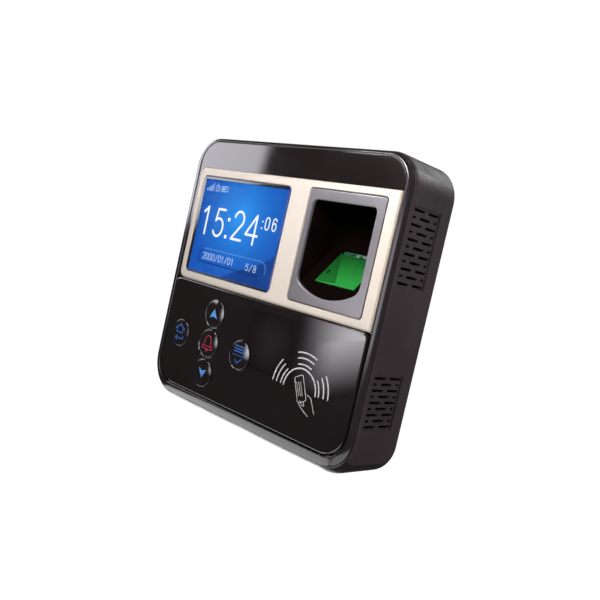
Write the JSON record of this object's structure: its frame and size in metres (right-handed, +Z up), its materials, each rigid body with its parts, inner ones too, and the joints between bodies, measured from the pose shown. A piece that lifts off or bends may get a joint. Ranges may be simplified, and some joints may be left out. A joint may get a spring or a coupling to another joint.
{
  "type": "fingerprint scanner terminal",
  "caption": "Wall-mounted access terminal with a colour screen, a finger well over a lit prism, a card reader area, round keys and a hook-on wall plate.",
  "frame": {"origin": "centre of the wall plate's back face, on the wall", "axes": "+X right and +Z up as a user faces the screen, +Y out of the back into the wall"},
  "size_m": [0.1126, 0.027, 0.11],
  "materials": {
    "gloss_black": "high gloss moulded ABS",
    "textured_black": "fine leather-grain moulded ABS",
    "panel_gloss": "high gloss pressed panel",
    "champagne": "satin champagne lacquer on an aluminium trim",
    "lens_clear": "clear acrylic with a black printed border",
    "display": "lit colour display",
    "backlight_frame": "stamped steel frame",
    "flex": "polyimide film",
    "bezel_silver": "satin silver lacquer",
    "well_black": "smooth matt moulding",
    "prism_glass": "optical glass lit green from behind",
    "inner_black": "moulded black plastic",
    "pcb_green": "solder mask over fibreglass",
    "key_gloss": "gloss key cap with a printed symbol",
    "silicone": "grey silicone rubber",
    "led_white": "lamp package",
    "chip_black": "moulded package",
    "can_metal": "bare aluminium can",
    "relay_blue": "moulded relay case",
    "steel": "zinc plated steel",
    "cell_steel": "nickel plated steel",
    "header_white": "nylon",
    "copper": "enamelled copper wire",
    "lever_grey": "acetal"
  },
  "bodies": {
    "case": {"front_cover": "gloss_black", "rear_cover": "textured_black", "upper_panel": "panel_gloss", "keypad_panel": "panel_gloss", "trim_band": "champagne", "lcd_lens": "lens_clear", "lcd_panel": "display", "lcd_backlight": "backlight_frame", "lcd_flex": "flex", "fp_bezel": "bezel_silver", "finger_well": "well_black", "prism": "prism_glass", "sensor_housing": "inner_black", "sensor_led_board": "pcb_green", "sensor_lens": "inner_black", "sensor_board": "pcb_green", "sensor_flex": "flex", "key_mat": "silicone", "keypad_board": "pcb_green", "keypad_leds": "led_white", "stacking_header": "inner_black", "main_board": "pcb_green", "processor": "chip_black", "memory_chips": "chip_black", "power_inductors": "chip_black", "capacitors": "can_metal", "lock_relay": "relay_blue", "buzzer": "inner_black", "cell_holder": "inner_black", "coin_cell": "cell_steel", "flex_connectors": "header_white", "speaker_frame": "steel", "speaker_cone": "inner_black", "wall_headers": "header_white", "antenna_board": "pcb_green", "antenna_coil": "copper", "tamper_switch": "inner_black", "wall_plate": "steel", "housing_screws": "steel", "board_screws": "steel", "sensor_screws": "steel", "lock_screw": "steel"},
    "key_up_body": {"key_up": "key_gloss"},
    "key_down_body": {"key_down": "key_gloss"},
    "key_bell_body": {"key_bell": "key_gloss"},
    "key_home_body": {"key_home": "key_gloss"},
    "key_menu_body": {"key_menu": "key_gloss"},
    "tamper_body": {"tamper_plunger": "lever_grey"}
  },
  "joints": [
    {"name": "key_up_press", "type": "slide", "parent": "case", "child": "key_up_body", "axis": [0, 1, 0], "range_m": [0, 0.0005], "stiffness_N_per_m": 900},
    {"name": "key_down_press", "type": "slide", "parent": "case", "child": "key_down_body", "axis": [0, 1, 0], "range_m": [0, 0.0005], "stiffness_N_per_m": 900},
    {"name": "key_bell_press", "type": "slide", "parent": "case", "child": "key_bell_body", "axis": [0, 1, 0], "range_m": [0, 0.0005], "stiffness_N_per_m": 900},
    {"name": "key_home_press", "type": "slide", "parent": "case", "child": "key_home_body", "axis": [0, 1, 0], "range_m": [0, 0.0005], "stiffness_N_per_m": 900},
    {"name": "key_menu_press", "type": "slide", "parent": "case", "child": "key_menu_body", "axis": [0, 1, 0], "range_m": [0, 0.0005], "stiffness_N_per_m": 900},
    {"name": "tamper_press", "type": "slide", "parent": "case", "child": "tamper_body", "axis": [0, -1, 0], "range_m": [0, 0.0008], "stiffness_N_per_m": 400}
  ]
}
